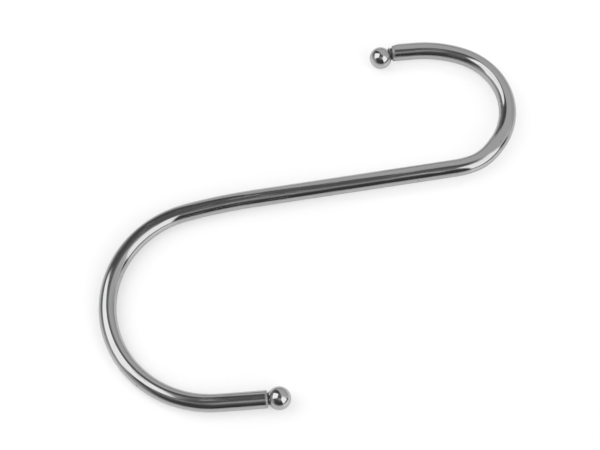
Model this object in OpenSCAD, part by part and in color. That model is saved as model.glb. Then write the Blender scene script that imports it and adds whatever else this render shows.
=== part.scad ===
// S hook: a round steel rod bent flat into a large and a small hook,
// with a solid steel ball welded on each end.
// It lies on a floor: shank along +X, +Z up, origin under the middle of its box.
// Millimetres throughout.

/* [Rod and balls] */
// Diameter of the round rod
rod_d = 4; // [3:0.5:8]
// Diameter of the ball on each end
ball_d = 5.2; // [4:0.1:12]
// Straight length between the two hooks
shank_length = 46.5; // [20:0.5:120]

/* [Small hook] */
// Centreline radius of the main bend
small_bend_radius = 15.5; // [8:0.5:40]
// Turn of the main bend, degrees
small_bend_angle = 150.5; // [120:0.5:175]
// Centreline radius of the gentler curve between the bend and the tip
small_easing_radius = 26; // [10:0.5:80]
// Turn of that curve, degrees
small_easing_angle = 25; // [5:0.5:60]
// Length of the almost straight tip
small_tip_length = 5.5; // [2:0.1:30]
// Rod end to the middle of the ball, along the rod
small_ball_reach = 2.75; // [2:0.05:8]
// How far the ball sits off the rod's axis, towards the inside of the hook
small_ball_offset = 1.15; // [0:0.05:1.4]

/* [Large hook] */
// Centreline radius of the easing where the shank starts to swing outwards
large_easing_radius = 131; // [60:1:300]
// Turn of the easing, degrees
large_easing_angle = 7; // [2:0.5:15]
// Centreline radius of the main bend
large_bend_radius = 23.4; // [10:0.1:60]
// Turn of the main bend, degrees
large_bend_angle = 167.5; // [120:0.5:172]
// Length of the almost straight tip
large_tip_length = 11; // [4:0.5:40]
// Rod end to the middle of the ball, along the rod
large_ball_reach = 2.5; // [2:0.05:8]
// How far the ball sits off the rod's axis, towards the inside of the hook
large_ball_offset = 0; // [0:0.05:1.4]

/* [Rod ends and welds] */
// Centreline radius of both tips, which the bending leaves almost straight
tip_radius = 600; // [200:50:1000]
// Radius of the rounded edge round each rod end
end_rounding = 0.45; // [0.2:0.05:0.8]
// Diameter of the weld that joins rod and ball
weld_d = 2.9; // [1.5:0.1:5]

/* [Resolution] */
// Sides of the rod's round section
rod_sides = 36; // [24:4:64]
// Sides a full turn of a bend would have
bend_sides = 96; // [60:12:180]
// Sides of a ball
ball_sides = 48; // [24:4:96]

/* [Hidden] */
rod_r = rod_d / 2;
ball_r = ball_d / 2;
weld_r = weld_d / 2;
// How far inside the rod end the weld's line to the ball starts
weld_root = rod_r / 2;
// The end rounding crosses the rod's surface by this much, so the two meet at an angle
rounding_bite = end_rounding / 55;
// Far enough out to round off the last digits, near enough to keep the rest
far_out = 1e5;
// Height of the ball's middle over the flat that the weld leaves on it
flat_height = sqrt(ball_r * ball_r - weld_r * weld_r);
// Turn of each tip
small_tip_angle = small_tip_length / tip_radius * 180 / PI;
large_tip_angle = large_tip_length / tip_radius * 180 / PI;
steel = [0.72, 0.73, 0.74];

// A hook is a list of [centreline radius, turn]; it sets off along +X and turns to +Y.
small_hook = [
  [small_bend_radius, small_bend_angle],
  [small_easing_radius, small_easing_angle],
  [tip_radius, small_tip_angle],
];
large_hook = [
  [large_easing_radius, large_easing_angle],
  [large_bend_radius, large_bend_angle],
  [tip_radius, large_tip_angle],
];

function unit(a) = [cos(a), sin(a), 0];
function heading(hook, n) = n == 0 ? 0 : heading(hook, n - 1) + hook[n - 1][1];
function centre(hook, n) = n == 0
  ? [0, hook[0][0], 0]
  : centre(hook, n - 1) + (hook[n - 1][0] - hook[n][0]) * unit(heading(hook, n) - 90);
function along(hook, n, turn) =
  centre(hook, n) + hook[n][0] * unit(heading(hook, n) + turn - 90);
function tip(hook) = along(hook, len(hook) - 1, hook[len(hook) - 1][1]);
function tip_heading(hook) = heading(hook, len(hook));
function ball_at(hook, reach, offset) =
  tip(hook) + reach * unit(tip_heading(hook)) + offset * unit(tip_heading(hook) + 90);
function hook_points(hook) =
  [for (n = [0 : len(hook) - 1], i = [0 : 180]) along(hook, n, hook[n][1] * i / 180)];

// Where each hook stands in the flat S: the large one is turned end for end.
function on_small_side(p) = [shank_length / 2 + p.x, p.y, 0];
function on_large_side(p) = [-shank_length / 2 - p.x, -p.y, 0];

small_ball = on_small_side(ball_at(small_hook, small_ball_reach, small_ball_offset));
large_ball = on_large_side(ball_at(large_hook, large_ball_reach, large_ball_offset));
rod_points = [
  for (p = hook_points(small_hook)) on_small_side(p),
  for (p = hook_points(large_hook)) on_large_side(p),
];

// The balls are thicker than the rod, so the S leans about the line through them
// until the large bend touches the floor.
ball_line = (small_ball - large_ball) / norm(small_ball - large_ball);
side_line = [-ball_line.y, ball_line.x, 0];
bend_distance = max([for (p = rod_points) (p - large_ball) * side_line]);
lean = -asin((ball_r - rod_r) / bend_distance);

// Middle of the plan outline
xs = [for (p = rod_points) p.x];
ys = [for (p = rod_points) p.y];
x_low = min(min(xs) - rod_r, large_ball.x - ball_r, small_ball.x - ball_r);
x_high = max(max(xs) + rod_r, large_ball.x + ball_r, small_ball.x + ball_r);
y_low = min(min(ys) - rod_r, large_ball.y - ball_r, small_ball.y - ball_r);
y_high = max(max(ys) + rod_r, large_ball.y + ball_r, small_ball.y + ball_r);
plan_middle = [(x_low + x_high) / 2, (y_low + y_high) / 2, 0];

// Moves by v in a coarse and a fine step, which keeps the place exact to the last digit,
// then far out and back, so that the ends of neighbouring stretches get the same numbers
module exactly_at(v) {
  coarse = [for (c = v) round(c * 100) / 100];
  far = [far_out, far_out, 0];
  translate(-far)
    translate(far)
      translate(coarse)
        translate(v - coarse)
          children();
}

// Sets the flat S down on the floor as it comes to rest
module laid_down() {
  translate([0, 0, ball_r] - plan_middle)
    translate(large_ball)
      rotate(a = lean, v = ball_line)
        translate(-large_ball)
          children();
}

module small_side() {
  translate([shank_length / 2, 0, 0])
    children();
}

module large_side() {
  translate([-shank_length / 2, 0, 0])
    rotate([0, 0, 180])
      children();
}

// Puts +Z along the rod's axis at the tip of a hook, +Y towards the inside
module at_tip(hook) {
  exactly_at(tip(hook))
    rotate([0, 0, tip_heading(hook)])
      rotate([0, 90, 0])
        children();
}

module shank() {
  translate([-shank_length / 2, 0, 0])
    rotate([0, 90, 0])
      cylinder(r = rod_r, h = shank_length, $fn = rod_sides);
}

module bends(hook) {
  for (n = [0 : len(hook) - 1])
    exactly_at(centre(hook, n))
      rotate_extrude(angle = hook[n][1], start = heading(hook, n) - 90, $fn = bend_sides)
        translate([hook[n][0], 0])
          circle(r = rod_r, $fn = rod_sides);
}

// What is taken off round a rod end to round its edge
module end_cutter() {
  inset = end_rounding - rounding_bite;
  rotate_extrude($fn = rod_sides)
    translate([rod_r - inset, -inset])
      difference() {
        square(2 * end_rounding);
        circle(r = end_rounding, $fn = rod_sides);
      }
}

// Puts +Z on the line from the weld's root on the rod's axis to the middle of the ball
module on_weld_line(reach, offset) {
  translate([0, 0, -weld_root])
    rotate([-atan2(offset, weld_root + reach), 0, 0])
      children();
}

// Weld metal from inside the rod end to the ball
module weld(reach, offset) {
  on_weld_line(reach, offset)
    cylinder(r = weld_r, h = norm([offset, weld_root + reach]) - flat_height, $fn = rod_sides);
}

module ball(hook, reach, offset) {
  at_tip(hook)
    on_weld_line(reach, offset)
      translate([0, 0, norm([offset, weld_root + reach])])
        difference() {
          sphere(r = ball_r, $fn = ball_sides);
          translate([0, 0, -flat_height - ball_r])
            cylinder(r = ball_r, h = ball_r, $fn = rod_sides);
        }
}

module bent_rod() {
  color(steel)
    laid_down()
      union() {
        difference() {
          union() {
            shank();
            small_side()
              bends(small_hook);
            large_side()
              bends(large_hook);
          }
          small_side()
            at_tip(small_hook)
              end_cutter();
          large_side()
            at_tip(large_hook)
              end_cutter();
        }
        small_side()
          at_tip(small_hook)
            weld(small_ball_reach, small_ball_offset);
        large_side()
          at_tip(large_hook)
            weld(large_ball_reach, large_ball_offset);
      }
}

module large_hook_ball() {
  color(steel)
    laid_down()
      large_side()
        ball(large_hook, large_ball_reach, large_ball_offset);
}

module small_hook_ball() {
  color(steel)
    laid_down()
      small_side()
        ball(small_hook, small_ball_reach, small_ball_offset);
}

bent_rod();
large_hook_ball();
small_hook_ball();
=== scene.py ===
"""Looks of an S hook: a polished steel rod bent flat, with a steel ball welded on each end."""
import math

import bmesh
import bpy
from mathutils import Matrix, Vector, noise


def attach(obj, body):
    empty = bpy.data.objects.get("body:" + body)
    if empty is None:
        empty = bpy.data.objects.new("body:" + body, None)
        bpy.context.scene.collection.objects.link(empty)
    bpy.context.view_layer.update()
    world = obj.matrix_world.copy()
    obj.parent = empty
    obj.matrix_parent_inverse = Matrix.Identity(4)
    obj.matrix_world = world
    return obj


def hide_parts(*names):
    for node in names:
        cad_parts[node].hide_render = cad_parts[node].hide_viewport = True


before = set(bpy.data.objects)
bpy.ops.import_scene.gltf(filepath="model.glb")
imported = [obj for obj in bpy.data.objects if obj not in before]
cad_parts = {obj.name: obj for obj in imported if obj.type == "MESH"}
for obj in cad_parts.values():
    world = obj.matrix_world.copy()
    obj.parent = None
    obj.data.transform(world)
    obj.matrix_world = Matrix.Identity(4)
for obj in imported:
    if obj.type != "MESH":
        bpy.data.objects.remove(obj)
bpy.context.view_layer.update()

MM = 0.001

# ---------------------------------------------------------------------------
# The hook's own sizes, the same values that drive its solids
# ---------------------------------------------------------------------------
ROD_RADIUS = 2.0 * MM
BALL_RADIUS = 2.6 * MM
WELD_RADIUS = 1.45 * MM
WELD_ROOT = 1.0 * MM
END_ROUNDING = 0.45 * MM
SHANK_LENGTH = 46.5 * MM
TIP_RADIUS = 600.0 * MM
# Each stretch of a hook is (centreline radius, turn)
SMALL_HOOK = [
    (15.5 * MM, math.radians(150.5)),
    (26.0 * MM, math.radians(25.0)),
    (TIP_RADIUS, 5.5 * MM / TIP_RADIUS),
]
LARGE_HOOK = [
    (131.0 * MM, math.radians(7.0)),
    (23.4 * MM, math.radians(167.5)),
    (TIP_RADIUS, 11.0 * MM / TIP_RADIUS),
]
# Rod end to the middle of the ball along the rod, and the ball's place off the rod's axis
SMALL_BALL_SEAT = (2.75 * MM, 1.15 * MM)
LARGE_BALL_SEAT = (2.5 * MM, 0.0)

# ---------------------------------------------------------------------------
# Small unevenness that the solids leave out
# ---------------------------------------------------------------------------
# The bending pin pushed the rod outwards where the small bend starts: how far, the middle of that place
# counted from the large hook's tip, and its reach each way
BEND_PUSH = 0.26 * MM
BEND_PUSH_AT = 148.5 * MM
BEND_PUSH_REACH = 6.0 * MM
# The outer side of the small hook's rod end is pressed flatter: by what share at the very end, and its reach
END_PRESS = 0.28
END_PRESS_REACH = 2.0 * MM
# The weld's neck: where it starts past the weld's root, and where its hollow and the neck itself end past
# the ball's flat; then the neck's radius and the depth of its hollow, as shares of the weld's radius
NECK_START = 0.4 * MM
HOLLOW_END = 0.12 * MM
NECK_END = 0.45 * MM
NECK_FULLNESS = 0.97
NECK_HOLLOW = 0.2
# Lumps all over the neck: their height, how closely they follow round it, and how closely along it in each mm
LUMP_HEIGHT = 0.05 * MM
LUMPS_ROUND = 2.2
LUMPS_ALONG = 2.5
# A bead is (angle round the neck in degrees, distance from the ball's flat towards the rod, how far it stands
# out, half its width round the neck in degrees, half its width along it). Angle 0 is the inside of the hook,
# and 90 is up.
LARGE_WELD_BEADS = [
    (116, 0.05 * MM, 0.36 * MM, 9, 0.3 * MM),
    (48, -0.05 * MM, 0.56 * MM, 34, 0.45 * MM),
    (250, 0.2 * MM, 0.25 * MM, 40, 0.15 * MM),
]
SMALL_WELD_BEADS = [
    (134, 0.5 * MM, 0.62 * MM, 26, 0.34 * MM),
    (280, 0.35 * MM, 0.3 * MM, 40, 0.2 * MM),
]
# A bead that stands out this far gets the full light grey of the painted highlight over its top
BEAD_HIGHLIGHT_HEIGHT = 0.2 * MM

# Fineness of the meshes
ROD_SIDES = 72
ROD_STEP = 0.4 * MM
ROUNDING_STEPS = 24
BALL_SIDES = 112
BALL_STEPS = 64
WELD_SIDES = 96
WELD_STEPS = 48


# ---------------------------------------------------------------------------
# Where the rod runs
# ---------------------------------------------------------------------------
def hook_length(hook):
    """Length of a hook's centreline, from the shank to the rod's end."""
    return sum(radius * turn for radius, turn in hook)


ROD_LENGTH = hook_length(LARGE_HOOK) + SHANK_LENGTH + hook_length(SMALL_HOOK)


def along_hook(hook, distance):
    """Point and heading at a distance from the shank, for a hook that sets off along +X and turns to +Y."""
    place, heading = Vector((0, 0, 0)), 0.0
    for radius, turn in hook:
        step = min(turn, distance / radius)
        middle = place + radius * Vector((-math.sin(heading), math.cos(heading), 0))
        heading += step
        place = middle - radius * Vector((-math.sin(heading), math.cos(heading), 0))
        distance -= radius * turn
        if distance <= 0:
            break
    return place, heading


def flat_place(hook, side, distance):
    """Point and direction in the flat S; side is 1 at the small hook, -1 at the large one, turned about."""
    place, heading = along_hook(hook, distance)
    direction = Vector((math.cos(heading), math.sin(heading), 0))
    return side * (Vector((SHANK_LENGTH / 2, 0, 0)) + place), side * direction


def flat_ball(hook, side, seat):
    """The middle of the ball at a hook's tip, in the flat S."""
    place, direction = flat_place(hook, side, hook_length(hook))
    inwards = Vector((-direction.y, direction.x, 0))
    return place + seat[0] * direction + seat[1] * inwards


def flat_rod(distance):
    """A point of the rod's centreline, counted from the large hook's tip."""
    large = hook_length(LARGE_HOOK)
    if distance < large:
        return flat_place(LARGE_HOOK, -1, large - distance)[0]
    if distance < large + SHANK_LENGTH:
        return Vector((distance - large - SHANK_LENGTH / 2, 0, 0))
    return flat_place(SMALL_HOOK, 1, distance - large - SHANK_LENGTH)[0]


def laid_down():
    """Lays the flat S on the floor: on both balls and on the large bend, with its plan outline centred."""
    small = flat_ball(SMALL_HOOK, 1, SMALL_BALL_SEAT)
    large = flat_ball(LARGE_HOOK, -1, LARGE_BALL_SEAT)
    line = (small - large).normalized()
    aside = Vector((-line.y, line.x, 0))
    steps = 2000
    rod = [flat_rod(ROD_LENGTH * i / steps) for i in range(steps + 1)]
    reach = max((p - large).dot(aside) for p in rod)
    lean = -math.asin((BALL_RADIUS - ROD_RADIUS) / reach)
    low, high = Vector((1, 1, 0)), Vector((-1, -1, 0))
    for points, radius in ((rod, ROD_RADIUS), ([small, large], BALL_RADIUS)):
        for axis in (0, 1):
            low[axis] = min(low[axis], min(p[axis] for p in points) - radius)
            high[axis] = max(high[axis], max(p[axis] for p in points) + radius)
    middle = (low + high) / 2
    return (
        Matrix.Translation(Vector((0, 0, BALL_RADIUS)) - middle)
        @ Matrix.Translation(large)
        @ Matrix.Rotation(lean, 4, line)
        @ Matrix.Translation(-large)
    )


LAID = laid_down()


def weld_frame(hook, side, seat):
    """Matrix with its origin in a ball's middle and +Z from the weld towards it, and the root's distance."""
    tip, direction = flat_place(hook, side, hook_length(hook))
    root = tip - WELD_ROOT * direction
    middle = flat_ball(hook, side, seat)
    line = (middle - root).normalized()
    aside = Vector((-line.y, line.x, 0))
    up = line.cross(aside)
    turn = Matrix((aside, up, line)).transposed().to_4x4()
    return LAID @ Matrix.Translation(middle) @ turn, (middle - root).length


# ---------------------------------------------------------------------------
# Small helpers
# ---------------------------------------------------------------------------
# Sockets of a Mix node that share a name and so go by number: its factor, two colours and the colour it
# gives, and two plain values
FACTOR, COLOUR_A, COLOUR_B, COLOUR_OUT = 0, 6, 7, 2
VALUE_A, VALUE_B = 2, 3
WHITE_LIGHT = (1, 1, 1, 1)


def linear(hex_colour):
    """An sRGB hex colour as linear red, green, blue and alpha."""
    parts = [int(hex_colour[i : i + 2], 16) / 255 for i in (1, 3, 5)]
    return [c / 12.92 if c <= 0.04045 else ((c + 0.055) / 1.055) ** 2.4 for c in parts] + [1.0]


def empty_tree(owner):
    """The emptied node tree of a new material or world."""
    owner.use_nodes = True
    owner.node_tree.nodes.clear()
    return owner.node_tree


def add_node(tree, kind, inputs=(), **settings):
    """One node with its settings. The inputs are a dict by name or number, or a list in order; each is
    a plain value, another node's output, or another node, which stands for its first output."""
    made = tree.nodes.new(kind)
    for name, value in settings.items():
        setattr(made, name, value)
    for name, value in inputs.items() if isinstance(inputs, dict) else enumerate(inputs):
        if isinstance(value, bpy.types.Node):
            value = value.outputs[0]
        if isinstance(value, bpy.types.NodeSocket):
            tree.links.new(value, made.inputs[name])
        else:
            made.inputs[name].default_value = value
    return made


def add_object(name, mesh, material=None):
    """A new object in the scene, its mesh dressed in one material."""
    made = bpy.data.objects.new(name, mesh)
    bpy.context.scene.collection.objects.link(made)
    if material:
        mesh.materials.clear()
        mesh.materials.append(material)
    return made


# ---------------------------------------------------------------------------
# Patterns that several materials share
# ---------------------------------------------------------------------------
def stretched_noise(tree, place, scale, detail, roughness=0.5, shift=(0, 0, 0)):
    """Noise with its own scale along and across a piece, in patches to the metre."""
    space = add_node(tree, "ShaderNodeMapping", {"Vector": place, "Scale": scale, "Location": shift})
    inputs = {"Vector": space, "Scale": 1.0, "Detail": detail, "Roughness": roughness}
    return add_node(tree, "ShaderNodeTexNoise", inputs)


def scattered_spots(tree, place, cells, core, edge, left_out):
    """Round spots, at most one to a cell: 1 in a spot's core and 0 past its edge, both measured in cells.
    cells is how many lie side by side in a metre, and left_out is the share of them with no spot."""
    cell = add_node(tree, "ShaderNodeTexVoronoi", {"Vector": place, "Scale": cells}, feature="F1").outputs
    fade = {"Value": cell["Distance"], "From Min": core, "From Max": edge, "To Min": 1.0, "To Max": 0.0}
    spot = add_node(tree, "ShaderNodeMapRange", fade)
    pick = add_node(tree, "ShaderNodeSeparateColor", {"Color": cell["Color"]})
    kept = add_node(tree, "ShaderNodeMath", [pick, left_out], operation="GREATER_THAN")
    return add_node(tree, "ShaderNodeMath", [spot, kept], operation="MULTIPLY")


# ---------------------------------------------------------------------------
# The hook's materials
# ---------------------------------------------------------------------------
def drawn_stainless_rod():
    """Stainless 304 rod, drawn cold through a die, bent, then polished bright.
    The eye gets a dark mirror with faint lines and dull streaks along the rod, a few nicks, and ripples in
    the polish."""
    material = bpy.data.materials.new("drawn_stainless_rod")
    tree = empty_tree(material)
    # The rod laid out straight: x along it, y and z across its section, in metres
    straight = add_node(tree, "ShaderNodeAttribute", attribute_name="rod_space").outputs["Vector"]
    # Die lines: real ones are about 0.05 mm apart; drawn 0.28 mm apart and 15 mm long so that they show
    lines = stretched_noise(tree, straight, (66, 3600, 3600), detail=3.0, roughness=0.6)
    # Ripples left by the polishing belt, about 5 mm long and 2.4 mm wide
    ripples = stretched_noise(tree, straight, (190, 420, 420), detail=1.0)
    # Dull streaks that the polishing wheel missed, 8 mm long and 0.4 mm wide
    streak_noise = stretched_noise(tree, straight, (120, 2600, 2600), detail=1.0, shift=(3, 5, 7))
    streak_ends = {"Value": streak_noise, "From Min": 0.56, "From Max": 0.68, "To Min": 0.0, "To Max": 0.2}
    streaks = add_node(tree, "ShaderNodeMapRange", streak_ends)
    # Nicks from handling, 0.35 mm across with slopes out to 0.75 mm, in 45 of a hundred 5 mm cells
    nicks = scattered_spots(tree, straight, cells=200.0, core=0.035, edge=0.075, left_out=0.55)

    # Colour: neutral grey steel, a little duller along the lines and in the nicks
    tones = {FACTOR: lines, COLOUR_A: linear("#A9A9AA"), COLOUR_B: linear("#B4B4B4")}
    tone = add_node(tree, "ShaderNodeMix", tones, data_type="RGBA").outputs[COLOUR_OUT]
    marked = {FACTOR: nicks, COLOUR_A: tone, COLOUR_B: linear("#949493")}
    colour = add_node(tree, "ShaderNodeMix", marked, data_type="RGBA").outputs[COLOUR_OUT]

    # Roughness: a mirror, duller along the lines, in the nicks and in the streaks
    gloss_ends = {"Value": lines, "From Min": 0.3, "From Max": 0.75, "To Min": 0.05, "To Max": 0.13}
    gloss = add_node(tree, "ShaderNodeMapRange", gloss_ends)
    nick_roughness = 0.2
    worn = add_node(tree, "ShaderNodeMath", [nicks, nick_roughness, gloss], operation="MULTIPLY_ADD")
    missed = add_node(tree, "ShaderNodeMath", [worn, streaks], operation="ADD")
    # The last 0.8 mm at each end were heated by the weld and stay dull
    along = add_node(tree, "ShaderNodeSeparateXYZ", [straight])
    rest = add_node(tree, "ShaderNodeMath", [ROD_LENGTH, along], operation="SUBTRACT")
    nearer = add_node(tree, "ShaderNodeMath", [along, rest], operation="MINIMUM")
    heat_ends = {"Value": nearer, "From Min": 0.3 * MM, "From Max": 0.8 * MM, "To Min": 0.4, "To Max": 0.0}
    heated = add_node(tree, "ShaderNodeMapRange", heat_ends)
    rough = add_node(tree, "ShaderNodeMath", [missed, heated], operation="ADD")

    # Relief: fine lines, soft ripples and nicks pressed in
    relief = add_node(tree, "ShaderNodeBump", {"Height": lines, "Strength": 1.0, "Distance": 0.005 * MM})
    for height, depth, pressed_in in ((ripples, 0.018 * MM, False), (nicks, 0.005 * MM, True)):
        inputs = {"Height": height, "Strength": 1.0, "Distance": depth, "Normal": relief}
        relief = add_node(tree, "ShaderNodeBump", inputs, invert=pressed_in)

    steel = {"Base Color": colour, "Metallic": 1.0, "Roughness": rough, "Normal": relief}
    shader = add_node(tree, "ShaderNodeBsdfPrincipled", steel)
    add_node(tree, "ShaderNodeOutputMaterial", {"Surface": shader})
    return material


def ground_stainless_ball():
    """Stainless bearing ball, ground and lapped. The eye gets a clean mirror with a few fine specks."""
    material = bpy.data.materials.new("ground_stainless_ball")
    tree = empty_tree(material)
    place = add_node(tree, "ShaderNodeTexCoord").outputs["Object"]
    # Lapping haze, in patches of 1.5 mm
    haze = add_node(tree, "ShaderNodeTexNoise", {"Vector": place, "Scale": 650.0, "Detail": 3.0})
    # Specks 0.15 mm across with soft edges out to 0.35 mm, in 40 of a hundred 1.2 mm cells
    specks = scattered_spots(tree, place, cells=830.0, core=0.06, edge=0.14, left_out=0.6)
    tones = {FACTOR: haze, COLOUR_A: linear("#AEAEAF"), COLOUR_B: linear("#B6B6B6")}
    tone = add_node(tree, "ShaderNodeMix", tones, data_type="RGBA").outputs[COLOUR_OUT]
    marked = {FACTOR: specks, COLOUR_A: tone, COLOUR_B: linear("#858483")}
    colour = add_node(tree, "ShaderNodeMix", marked, data_type="RGBA").outputs[COLOUR_OUT]
    gloss = add_node(tree, "ShaderNodeMapRange", {"Value": haze, "To Min": 0.03, "To Max": 0.09})
    steel = {"Base Color": colour, "Metallic": 1.0, "Roughness": gloss}
    shader = add_node(tree, "ShaderNodeBsdfPrincipled", steel)
    add_node(tree, "ShaderNodeOutputMaterial", {"Surface": shader})
    return material


def resistance_weld_steel():
    """Stainless at a resistance weld, left as it froze, with heat scale. Its colour is painted dark as
    painted shade of the groove between rod and ball, and painted light grey on the tops of its beads as a
    painted highlight. The eye gets a dark, dull, lumpy groove with a few pale beads."""
    material = bpy.data.materials.new("resistance_weld_steel")
    tree = empty_tree(material)
    place = add_node(tree, "ShaderNodeTexCoord").outputs["Object"]
    # Scale and freezing ripples, about 0.4 mm
    lumps = add_node(tree, "ShaderNodeTexNoise", {"Vector": place, "Scale": 2500.0, "Detail": 3.0})
    # Dark grey mottled by the lumps: heat scale, and painted shade of the groove between rod and ball
    tones = {FACTOR: lumps, COLOUR_A: linear("#3A3A3B"), COLOUR_B: linear("#9C9C9C")}
    tone = add_node(tree, "ShaderNodeMix", tones, data_type="RGBA").outputs[COLOUR_OUT]
    # How far a point stands out of the neck, from 0 in the groove to 1 on a bead's top; the tops get a light
    # grey as a painted highlight
    stands_out_painted_highlight = add_node(tree, "ShaderNodeAttribute", attribute_name="stands_out_painted_highlight").outputs["Fac"]
    # Painted highlight: the light grey on the bead tops stands in for the light they catch, not the steel's
    # own colour
    polished = {FACTOR: stands_out_painted_highlight, COLOUR_A: tone, COLOUR_B: linear("#D8D8D8")}
    colour = add_node(tree, "ShaderNodeMix", polished, data_type="RGBA").outputs[COLOUR_OUT]
    gloss = add_node(tree, "ShaderNodeMapRange", {"Value": lumps, "To Min": 0.3, "To Max": 0.55})
    relief = add_node(tree, "ShaderNodeBump", {"Height": lumps, "Strength": 1.0, "Distance": 0.03 * MM})
    steel = {"Base Color": colour, "Metallic": 1.0, "Roughness": gloss, "Normal": relief}
    shader = add_node(tree, "ShaderNodeBsdfPrincipled", steel)
    add_node(tree, "ShaderNodeOutputMaterial", {"Surface": shader})
    return material


# ---------------------------------------------------------------------------
# The bent rod: a tree of nodes sweeps the rod's section along its centreline
# ---------------------------------------------------------------------------
SWEEP_SIZES = (
    ("Rod Radius", "NodeSocketFloat", ROD_RADIUS),
    ("End Rounding", "NodeSocketFloat", END_ROUNDING),
    ("Sides", "NodeSocketInt", ROD_SIDES),
)


def rod_sweep_tree(material):
    """Sweeps a ring along a centreline, drawn in at the rounded ends, and marks each point with its place on
    the straightened rod. Gives the tree and the identifiers of its inputs by name."""
    tree = bpy.data.node_groups.new("rod_sweep", "GeometryNodeTree")
    ports = {}
    tree.interface.new_socket("Centreline", in_out="INPUT", socket_type="NodeSocketGeometry")
    for name, kind, value in SWEEP_SIZES:
        socket = tree.interface.new_socket(name, in_out="INPUT", socket_type=kind)
        socket.default_value = value
        ports[name] = socket.identifier
    tree.interface.new_socket("Rod", in_out="OUTPUT", socket_type="NodeSocketGeometry")
    given = add_node(tree, "NodeGroupInput").outputs
    full_radius, rounding = given["Rod Radius"], given["End Rounding"]
    line = add_node(tree, "GeometryNodeMeshToCurve", {"Mesh": given["Centreline"]})

    # Distance to the nearer end, as far as the rounding reaches
    travelled = add_node(tree, "GeometryNodeSplineParameter").outputs["Length"]
    whole = add_node(tree, "GeometryNodeSplineLength").outputs["Length"]
    left = add_node(tree, "ShaderNodeMath", [whole, travelled], operation="SUBTRACT")
    nearer = add_node(tree, "ShaderNodeMath", [travelled, left], operation="MINIMUM")
    inside = add_node(tree, "ShaderNodeMath", [nearer, rounding], operation="MINIMUM")
    # Radius there: rod radius - rounding + sqrt(inside * (2 * rounding - inside))
    double = add_node(tree, "ShaderNodeMath", [rounding, 2.0], operation="MULTIPLY")
    other = add_node(tree, "ShaderNodeMath", [double, inside], operation="SUBTRACT")
    square = add_node(tree, "ShaderNodeMath", [inside, other], operation="MULTIPLY")
    root = add_node(tree, "ShaderNodeMath", [square], operation="SQRT")
    core = add_node(tree, "ShaderNodeMath", [full_radius, rounding], operation="SUBTRACT")
    radius = add_node(tree, "ShaderNodeMath", [core, root], operation="ADD")
    scale = add_node(tree, "ShaderNodeMath", [radius, full_radius], operation="DIVIDE")

    # The centreline carries its length and fullness into the sweep, and the ring its own shape
    store, recall = "GeometryNodeStoreNamedAttribute", "GeometryNodeInputNamedAttribute"
    number = {"data_type": "FLOAT", "domain": "POINT"}
    vector = {"data_type": "FLOAT_VECTOR", "domain": "POINT"}
    marked = add_node(tree, store, {"Geometry": line, "Name": "along", "Value": travelled}, **number)
    sized = add_node(tree, store, {"Geometry": marked, "Name": "fullness", "Value": scale}, **number)
    circle = {"Resolution": given["Sides"], "Radius": full_radius}
    ring = add_node(tree, "GeometryNodeCurvePrimitiveCircle", circle)
    spot = add_node(tree, "GeometryNodeInputPosition")
    section = add_node(tree, store, {"Geometry": ring, "Name": "section", "Value": spot}, **vector)
    fullness = add_node(tree, recall, {"Name": "fullness"}, data_type="FLOAT")
    run = {"Curve": sized, "Profile Curve": section, "Scale": fullness, "Fill Caps": True}
    swept = add_node(tree, "GeometryNodeCurveToMesh", run)

    # The straightened rod, for patterns that follow it
    along = add_node(tree, recall, {"Name": "along"}, data_type="FLOAT")
    across = add_node(tree, recall, {"Name": "section"}, data_type="FLOAT_VECTOR")
    split = add_node(tree, "ShaderNodeSeparateXYZ", [across]).outputs
    straight = add_node(tree, "ShaderNodeCombineXYZ", [along, split[0], split[1]])
    laid = add_node(tree, store, {"Geometry": swept, "Name": "rod_space", "Value": straight}, **vector)

    smooth = add_node(tree, "GeometryNodeSetShadeSmooth", {"Geometry": laid})
    real = add_node(tree, "GeometryNodeRealizeInstances", {"Geometry": smooth})
    dressed = add_node(tree, "GeometryNodeSetMaterial", {"Geometry": real, "Material": material})
    add_node(tree, "NodeGroupOutput", {"Rod": dressed})
    return tree, ports


def uneven_bend(distance):
    """How far the bending pin pushed the rod outwards at a distance along it."""
    away = abs(distance - BEND_PUSH_AT) / BEND_PUSH_REACH
    if away >= 1:
        return Vector((0, 0, 0))
    step = 0.5 * MM
    along = flat_rod(distance + step) - flat_rod(distance - step)
    outwards = Vector((along.y, -along.x, 0)).normalized()
    return BEND_PUSH * math.cos(math.pi / 2 * away) ** 2 * outwards


def centreline_mesh():
    """The rod's centreline as a chain of even steps, much closer where the ends are rounded."""
    turns = [math.pi / 2 * i / ROUNDING_STEPS for i in range(ROUNDING_STEPS + 1)]
    close = [END_ROUNDING * (1 - math.cos(turn)) for turn in turns]
    count = round((ROD_LENGTH - 2 * END_ROUNDING) / ROD_STEP)
    inner = [END_ROUNDING + (ROD_LENGTH - 2 * END_ROUNDING) * i / count for i in range(1, count)]
    stops = close + inner + [ROD_LENGTH - d for d in reversed(close)]
    points = [LAID @ (flat_rod(min(max(d, 0.0), ROD_LENGTH)) + uneven_bend(d)) for d in stops]
    mesh = bpy.data.meshes.new("rod_centreline")
    mesh.from_pydata(points, [(i, i + 1) for i in range(len(points) - 1)], [])
    return mesh


def ease_small_end(mesh):
    """The welding electrode pressed the outer side of the small hook's rod end a little flatter."""
    bend_start = ROD_LENGTH - hook_length(SMALL_HOOK)
    for vertex, straight in zip(mesh.vertices, mesh.attributes["rod_space"].data):
        distance = min(straight.vector.x, ROD_LENGTH)
        near = (distance - ROD_LENGTH + END_PRESS_REACH) / END_PRESS_REACH
        if near > 0:
            place, direction = flat_place(SMALL_HOOK, 1, distance - bend_start)
            outwards = LAID.to_3x3() @ Vector((direction.y, -direction.x, 0))
            offset = max(0.0, (vertex.co - LAID @ place).dot(outwards))
            vertex.co -= END_PRESS * near**2 * offset * outwards


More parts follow.
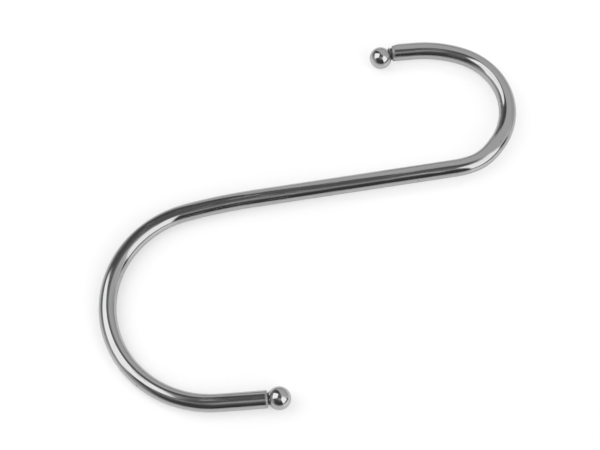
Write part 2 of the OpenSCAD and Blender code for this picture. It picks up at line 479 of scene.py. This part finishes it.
def bent_rod(material):
    """The whole bent rod as one plain mesh."""
    host = add_object("bent_rod_centreline", centreline_mesh())
    tree, ports = rod_sweep_tree(material)
    sweep = host.modifiers.new("sweep", "NODES")
    sweep.node_group = tree
    for name, _, value in SWEEP_SIZES:
        sweep[ports[name]] = value
    mesh = bpy.data.meshes.new_from_object(host.evaluated_get(bpy.context.evaluated_depsgraph_get()))
    bpy.data.objects.remove(host)
    ease_small_end(mesh)
    return add_object("polished_rod", mesh, material)


# ---------------------------------------------------------------------------
# Balls and welds: turned shapes round the line from the weld to the ball
# ---------------------------------------------------------------------------
def turned(name, outline, around, matrix, material, lump=None):
    """A closed turned solid. The outline is a list of (height, radius) from the axis back to the axis.
    lump, if given, is a function of (height, radius, angle) that returns the radius there."""
    mesh = bpy.data.meshes.new(name)
    work = bmesh.new()
    rings = []
    for height, radius in outline:
        if radius <= 0:
            rings.append([work.verts.new((0, 0, height))])
            continue
        ring = []
        for i in range(around):
            angle = 2 * math.pi * i / around
            r = lump(height, radius, angle) if lump else radius
            ring.append(work.verts.new((r * math.cos(angle), r * math.sin(angle), height)))
        rings.append(ring)
    for low, high in zip(rings, rings[1:]):
        for i in range(around):
            low_edge = (low[i % len(low)], low[(i + 1) % len(low)])
            high_edge = (high[(i + 1) % len(high)], high[i % len(high)])
            # At the axis two corners are one, so the face is a triangle
            work.faces.new(list(dict.fromkeys(low_edge + high_edge)))
    bmesh.ops.transform(work, matrix=matrix, verts=work.verts)
    bmesh.ops.recalc_face_normals(work, faces=work.faces)
    work.to_mesh(mesh)
    work.free()
    for face in mesh.polygons:
        face.use_smooth = True
    return add_object(name, mesh, material)


def ball(name, matrix, material):
    """A ball with the flat that the weld leaves on it."""
    start = math.asin(WELD_RADIUS / BALL_RADIUS)
    flat = -BALL_RADIUS * math.cos(start)
    inner_ring = 0.6 * WELD_RADIUS
    outline = [(flat, 0.0), (flat, inner_ring)]
    for i in range(BALL_STEPS):
        angle = start + (math.pi - start) * i / BALL_STEPS
        outline.append((-BALL_RADIUS * math.cos(angle), BALL_RADIUS * math.sin(angle)))
    outline.append((BALL_RADIUS, 0.0))
    return turned(name, outline, BALL_SIDES, matrix, material)


def weld(name, matrix, root, material, beads, seed):
    """The hollow neck between rod and ball, with beads of metal squeezed out of it. It marks each point with
    how far it stands out, from 0 in the groove to 1 on a bead's top, where the weld's material paints a
    highlight."""
    flat = -math.sqrt(BALL_RADIUS**2 - WELD_RADIUS**2)
    low, high = -root + NECK_START, flat + HOLLOW_END
    inside_ball = flat + NECK_END
    outline = [(low, 0.0)]
    for i in range(WELD_STEPS + 1):
        height = low + (inside_ball - low) * i / WELD_STEPS
        hollow = NECK_HOLLOW * math.sin(math.pi * min(1.0, (height - low) / (high - low)))
        outline.append((height, WELD_RADIUS * (NECK_FULLNESS - hollow)))
    outline.append((inside_ball, 0.0))

    def lump(height, radius, angle):
        across = (math.cos(angle) * LUMPS_ROUND, math.sin(angle) * LUMPS_ROUND)
        rough = LUMP_HEIGHT * noise.noise(Vector((*across, height / MM * LUMPS_ALONG + seed)))
        for turn, back, reach, round_width, along_width in beads:
            aside = math.remainder(angle - math.radians(turn), 2 * math.pi) / math.radians(round_width)
            away = (height - flat + back) / along_width
            rough += reach * math.exp(-(aside**2) - away**2)
        return radius + rough

    neck = turned(name, outline, WELD_SIDES, matrix, material, lump)
    stands_out_painted_highlight = neck.data.attributes.new("stands_out_painted_highlight", "FLOAT", "POINT")
    back_to_axis = matrix.inverted()
    for vertex, mark in zip(neck.data.vertices, stands_out_painted_highlight.data):
        height = ((back_to_axis @ vertex.co).xy.length - WELD_RADIUS) / BEAD_HIGHLIGHT_HEIGHT
        mark.value = min(max(height, 0.0), 1.0)
    return neck


# ---------------------------------------------------------------------------
# Studio
# ---------------------------------------------------------------------------
# Directions of the studio are given as seen from the camera: x to its right, y away from it, z up
CAMERA_AZIMUTH = math.radians(-9.2)
CAMERA_ELEVATION = math.radians(65.0)
CAMERA_DISTANCE = 399.7 * MM
CAMERA_LENS = 105.6
AIM = Vector((-3.58 * MM, -0.13 * MM, 2.6 * MM))
STUDIO = Matrix.Rotation(CAMERA_AZIMUTH, 4, "Z")
# Half the floor's side, in metres
FLOOR_HALF = 3.0
# The floor's own light changes from its left share to its right share between these two places
GLOW_LEFT, GLOW_RIGHT = -60 * MM, 50 * MM
# Share of a softbox cloth's width over which it fades out at each edge
CLOTH_RIM = 0.1
# Pale and dark sides of the room, as the metal shows them: (azimuth from the right, angle from straight up,
# spread of its even middle and of its fading edge, all in degrees, level). A later one covers an earlier one.
ROOM_PATCHES = [
    (0, 0, 5, 30, 0.17),  # dim ceiling
    (95, 92, 5, 28, 0.68),  # pale wall behind
    (200, 86, 15, 42, 0.55),  # pale wall on the left
    (120, 50, 10, 40, 0.12),  # dark ceiling behind, on the left
    (15, 60, 30, 50, 0.85),  # bright wall on the right
    (45, 84, 25, 42, 0.66),  # pale foot of the wall behind, on the right
    (-115, 65, 10, 35, 0.09),  # dark room in front, on the left
    (-60, 90, 30, 55, 0.07),  # dark room in front, on the right
    (-13, 86, 7, 17, 0.04),  # black gap below the right softbox
    (-90, 28, 3, 9, 0.6),  # pale spot round the camera
    (-74, 39, 2, 8, 0.5),  # pale spot between the camera and the right softbox
    (210, 58, 4, 13, 0.12),  # dark spot at the left softbox's front edge
]


def place_camera():
    """Looks down from the front, a little from the left."""
    data = bpy.data.cameras.new("camera")
    data.lens = CAMERA_LENS
    data.sensor_width = 36.0
    data.clip_start = 0.01
    data.clip_end = 50.0
    camera = bpy.data.objects.new("camera", data)
    bpy.context.scene.collection.objects.link(camera)
    back = STUDIO.to_3x3() @ Vector((0, -math.cos(CAMERA_ELEVATION), math.sin(CAMERA_ELEVATION)))
    camera.location = AIM + CAMERA_DISTANCE * back
    camera.rotation_euler = back.to_track_quat("Z", "Y").to_euler()
    bpy.context.scene.camera = camera


def studio_room(dome_level, plain_level):
    """The room round the hook: an even dome lights it, and camera and metal see its pale and dark patches."""
    world = bpy.data.worlds.new("studio_room")
    tree = empty_tree(world)
    way = add_node(tree, "ShaderNodeTexCoord").outputs["Generated"]
    level = plain_level
    for azimuth, polar, inner, outer, patch_level in ROOM_PATCHES:
        a, p = math.radians(azimuth), math.radians(polar)
        towards = Vector((math.cos(a) * math.sin(p), math.sin(a) * math.sin(p), math.cos(p)))
        facing = STUDIO.to_3x3() @ towards
        near = add_node(tree, "ShaderNodeVectorMath", [way, facing], operation="DOT_PRODUCT").outputs["Value"]
        from_edge, to_middle = math.cos(math.radians(outer)), math.cos(math.radians(inner))
        ends = {"Value": near, "From Min": from_edge, "From Max": to_middle}
        amount = add_node(tree, "ShaderNodeMapRange", ends, interpolation_type="SMOOTHSTEP")
        covered = {FACTOR: amount, VALUE_A: level, VALUE_B: patch_level}
        level = add_node(tree, "ShaderNodeMix", covered, data_type="FLOAT")
    path = add_node(tree, "ShaderNodeLightPath").outputs
    camera_or_mirror = [path["Is Camera Ray"], path["Is Glossy Ray"]]
    either = add_node(tree, "ShaderNodeMath", camera_or_mirror, operation="MAXIMUM")
    seen = add_node(tree, "ShaderNodeMath", [either, path["Is Transmission Ray"]], operation="MAXIMUM")
    parts = {FACTOR: seen, VALUE_A: dome_level, VALUE_B: level}
    shown = add_node(tree, "ShaderNodeMix", parts, data_type="FLOAT")
    glow = add_node(tree, "ShaderNodeBackground", {"Color": WHITE_LIGHT, "Strength": shown})
    add_node(tree, "ShaderNodeOutputWorld", {"Surface": glow})
    bpy.context.scene.world = world


def studio_white(name, hex_colour, to_camera, to_metal, level, gloss):
    """Cast white acrylic sheet or card, lit from behind at a level. to_camera and to_metal are the shares of
    its light that come through it; to_camera has one for the left and one for the right. gloss is 1 for a
    sheet with its factory surface, which mirrors the room at a low angle, and 0 for matt card.
    The eye gets a near white ground that keeps soft shadows."""
    material = bpy.data.materials.new(name)
    tree = empty_tree(material)
    place = add_node(tree, "ShaderNodeTexCoord").outputs["Object"]
    # Faint clouding in the cast, in patches of 40 mm
    cloud = add_node(tree, "ShaderNodeTexNoise", {"Vector": place, "Scale": 25.0, "Detail": 2.0})
    white = linear(hex_colour)
    shade = [0.99 * c for c in white[:3]] + [1.0]
    tones = {FACTOR: cloud, COLOUR_A: shade, COLOUR_B: white}
    tone = add_node(tree, "ShaderNodeMix", tones, data_type="RGBA").outputs[COLOUR_OUT]
    dull = add_node(tree, "ShaderNodeBsdfDiffuse", {"Color": tone})

    sideways = add_node(tree, "ShaderNodeSeparateXYZ", [place])
    left, right = to_camera
    ends = {"Value": sideways, "From Min": GLOW_LEFT, "From Max": GLOW_RIGHT, "To Min": left, "To Max": right}
    through = add_node(tree, "ShaderNodeMapRange", ends, interpolation_type="SMOOTHSTEP")
    path = add_node(tree, "ShaderNodeLightPath").outputs
    camera = add_node(tree, "ShaderNodeMath", [path["Is Camera Ray"], through], operation="MULTIPLY")
    mirrors_or_glass = [path["Is Glossy Ray"], path["Is Transmission Ray"]]
    mirrored = add_node(tree, "ShaderNodeMath", mirrors_or_glass, operation="MAXIMUM")
    amount = add_node(tree, "ShaderNodeMath", [mirrored, to_metal, camera], operation="MULTIPLY_ADD")
    glow = add_node(tree, "ShaderNodeEmission", {"Color": WHITE_LIGHT, "Strength": level})
    mixed = add_node(tree, "ShaderNodeMixShader", [amount, dull, glow])

    # The factory surface, with acrylic's own IOR
    skin = add_node(tree, "ShaderNodeBsdfGlossy", {"Color": WHITE_LIGHT, "Roughness": 0.15})
    low_angle = add_node(tree, "ShaderNodeFresnel", {"IOR": 1.49})
    mirrors = add_node(tree, "ShaderNodeMath", [low_angle, gloss], operation="MULTIPLY")
    skinned = add_node(tree, "ShaderNodeMixShader", [mirrors, mixed, skin])
    add_node(tree, "ShaderNodeOutputMaterial", {"Surface": skinned})
    return material


def softbox_cloth(name, radiance):
    """Diffusing cloth of a softbox, lit from inside: even in the middle, fading over a rim at its edges.
    The metal gets highlights with soft edges."""
    material = bpy.data.materials.new(name)
    tree = empty_tree(material)
    place = add_node(tree, "ShaderNodeUVMap", uv_map="cloth")
    sides = add_node(tree, "ShaderNodeSeparateXYZ", [place]).outputs
    level = radiance
    for side in (sides[0], sides[1]):
        middle = add_node(tree, "ShaderNodeMath", [side, 0.5], operation="SUBTRACT")
        out = add_node(tree, "ShaderNodeMath", [middle], operation="ABSOLUTE")
        ends = {"Value": out, "From Min": 0.5 - CLOTH_RIM, "From Max": 0.5, "To Min": 1.0, "To Max": 0.0}
        fade = add_node(tree, "ShaderNodeMapRange", ends, interpolation_type="SMOOTHSTEP")
        level = add_node(tree, "ShaderNodeMath", [fade, level], operation="MULTIPLY")
    glow = add_node(tree, "ShaderNodeEmission", {"Color": WHITE_LIGHT, "Strength": level})
    clear = add_node(tree, "ShaderNodeBsdfTransparent")
    solid = add_node(tree, "ShaderNodeMath", [level, radiance], operation="DIVIDE")
    mixed = add_node(tree, "ShaderNodeMixShader", [solid, clear, glow])
    add_node(tree, "ShaderNodeOutputMaterial", {"Surface": mixed})
    return material


def stage_panel(name, corners, material, only_in_metal):
    """A flat four-cornered piece of the studio. One that is only in the metal is not seen directly, and
    neither lights nor shades the floor."""
    mesh = bpy.data.meshes.new(name)
    mesh.from_pydata(corners, [], [(0, 1, 2, 3)])
    made = add_object(name, mesh, material)
    if only_in_metal:
        made.visible_camera = False
        made.visible_diffuse = False
        made.visible_shadow = False
    return made


def floor():
    """The wide white floor that the hook lies on."""
    acrylic = studio_white(
        "white_acrylic_floor", "#F9F9F9", to_camera=(0.42, 0.66), to_metal=0.0, level=1.05, gloss=1.0
    )
    half = FLOOR_HALF
    corners = [(-half, -half, 0), (half, -half, 0), (half, half, 0), (-half, half, 0)]
    stage_panel("studio_floor", corners, acrylic, only_in_metal=False)


def bounce_card(corner, across, along):
    """A white card that leans over the work from behind on the right, seen only in the metal."""
    card = studio_white("white_card", "#F2F2F2", to_camera=(1.0, 1.0), to_metal=1.0, level=0.76, gloss=0.0)
    corners = [corner, corner + across, corner + across + along, corner + along]
    stage_panel("bounce_card", [STUDIO @ c for c in corners], card, only_in_metal=True)


def softbox(name, middle, across, upright, radiance):
    """A soft panel of light, middle in metres, with its two edges as vectors. A lamp lights the floor,
    and a cloth of the same place and size, with soft edges, is what the metal reflects."""
    facing = -(across.cross(upright)).normalized()
    if facing.dot(middle) < 0:
        facing = -facing
    x = across.normalized()
    y = facing.cross(x).normalized()
    data = bpy.data.lights.new(name, "AREA")
    data.shape = "RECTANGLE"
    data.size = across.length
    data.size_y = abs(upright.dot(y))
    data.energy = radiance * math.pi * data.size * data.size_y
    lamp = bpy.data.objects.new(name, data)
    bpy.context.scene.collection.objects.link(lamp)
    lamp.matrix_world = STUDIO @ Matrix.Translation(middle) @ Matrix((x, y, facing)).transposed().to_4x4()
    lamp.visible_camera = False
    lamp.visible_glossy = False

    # The cloth is larger by its rim, so that it is about half faded at the lamp's edges
    grown = 1 + CLOTH_RIM
    ends = [(-0.5, -0.5), (0.5, -0.5), (0.5, 0.5), (-0.5, 0.5)]
    corners = [STUDIO @ (middle + grown * (u * across + v * upright)) for u, v in ends]
    cloth_name = name + "_cloth"
    cloth = stage_panel(cloth_name, corners, softbox_cloth(cloth_name, radiance), only_in_metal=True)
    layer = cloth.data.uv_layers.new(name="cloth")
    for corner, (u, v) in zip(layer.data, ends):
        corner.uv = (u + 0.5, v + 0.5)


# ---------------------------------------------------------------------------
# Putting it together
# ---------------------------------------------------------------------------
rod_steel = drawn_stainless_rod()
ball_steel = ground_stainless_ball()
weld_steel = resistance_weld_steel()

rod = bent_rod(rod_steel)
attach(rod, "root")
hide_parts("bent_rod")

for end, hook, side, seat, beads, seed in (
    ("large_hook", LARGE_HOOK, -1, LARGE_BALL_SEAT, LARGE_WELD_BEADS, 3.0),
    ("small_hook", SMALL_HOOK, 1, SMALL_BALL_SEAT, SMALL_WELD_BEADS, 8.0),
):
    matrix, root = weld_frame(hook, side, seat)
    end_ball = ball(end + "_polished_ball", matrix, ball_steel)
    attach(end_ball, "root")
    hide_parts(end + "_ball")
    end_weld = weld(end + "_weld", matrix, root, weld_steel, beads, seed)
    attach(end_weld, "root")

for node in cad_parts.values():
    node.data.materials.clear()
    node.data.materials.append(rod_steel if node.name == "bent_rod" else ball_steel)

place_camera()
studio_room(dome_level=0.6, plain_level=0.3)
floor()
bounce_card(
    corner=Vector((-0.16, 0.35, 0.03)),
    across=Vector((0.44, -0.1, 0.145)),
    along=Vector((0.2, -0.28, 0.2)),
)
softbox(
    "softbox_left",
    middle=Vector((-0.432, 0.035, 0.6)),
    across=Vector((-0.191, -0.63, -0.037)),
    upright=Vector((0.434, -0.105, 0.626)),
    radiance=1.85,
)
softbox(
    "softbox_right",
    middle=Vector((1.612, -1.115, 1.708)),
    across=Vector((-1.021, -1.843, -0.155)),
    upright=Vector((0.515, -0.452, -2.891)),
    radiance=1.8,
)
bpy.context.scene.view_settings.view_transform = "Standard"
